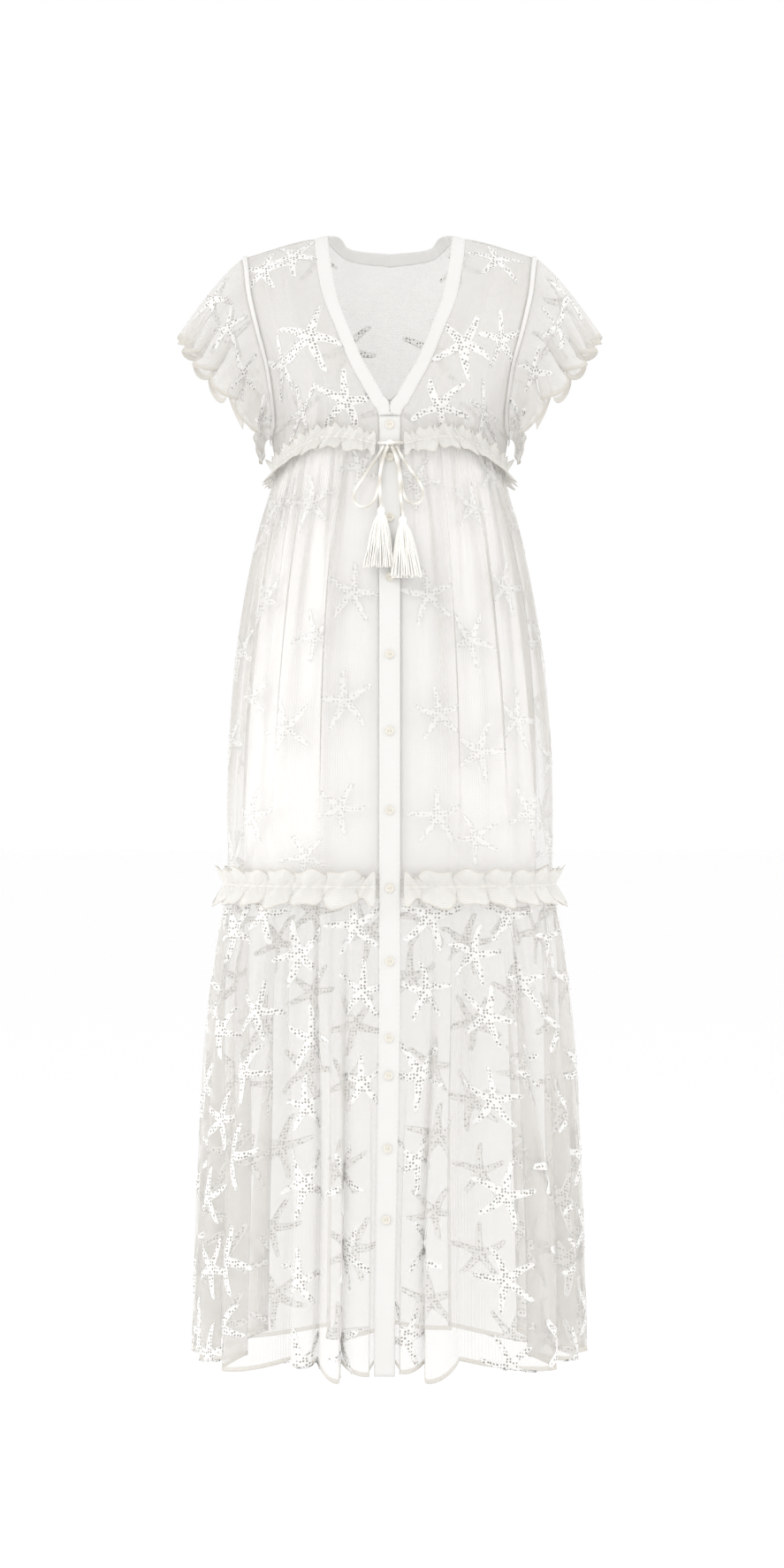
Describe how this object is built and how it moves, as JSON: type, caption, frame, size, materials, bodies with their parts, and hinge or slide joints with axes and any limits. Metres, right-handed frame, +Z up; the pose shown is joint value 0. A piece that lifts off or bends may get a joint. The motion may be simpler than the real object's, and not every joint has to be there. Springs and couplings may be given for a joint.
{
  "type": "maxi dress",
  "caption": "Long sheer dress, hollow as worn, with a V neck, flutter sleeves, a button band to the hem, frills at waist and tier seam, and a tied drawstring with tassels.",
  "frame": {"origin": "midway between the two points where the neck edge crosses the shoulders, level with them", "axes": "+Z up, -Y the front with the buttons, +X the wearer's left side"},
  "size_m": [0.5036, 0.3773, 1.3231],
  "materials": {
    "net": "sheer fine net with flat embroidery",
    "lining": "plain matt cloth",
    "band": "plain matt cloth, folded double",
    "button": "satin",
    "cord": "twisted thread"
  },
  "bodies": {
    "root": {"bodice_front_right": "net", "bodice_front_left": "net", "bodice_back": "net", "sleeve_right": "net", "sleeve_left": "net", "skirt_upper_front_right": "net", "skirt_upper_front_left": "net", "skirt_upper_back": "net", "skirt_lower_front_right": "net", "skirt_lower_front_left": "net", "skirt_lower_back": "net", "waist_ruffle_front_right": "net", "waist_ruffle_front_left": "net", "waist_ruffle_back": "net", "tier_ruffle_front_right": "net", "tier_ruffle_front_left": "net", "tier_ruffle_back": "net", "lining_front_right": "lining", "lining_front_left": "lining", "lining_back": "lining", "neckband_right": "band", "neckband_left": "band", "neckband_back": "band", "placket": "band", "placket_under": "band", "armhole_binding_right": "band", "armhole_binding_left": "band", "button_01": "button", "button_02": "button", "button_03": "button", "button_04": "button", "button_05": "button", "button_06": "button", "button_07": "button", "button_08": "button", "button_09": "button", "button_10": "button", "button_11": "button", "button_12": "button", "button_13": "button", "drawstring_knot": "cord", "drawstring_loop_right": "cord", "drawstring_loop_left": "cord", "drawstring_tail_right": "cord", "drawstring_tail_left": "cord", "tassel_right": "cord", "tassel_left": "cord"}
  },
  "joints": []
}
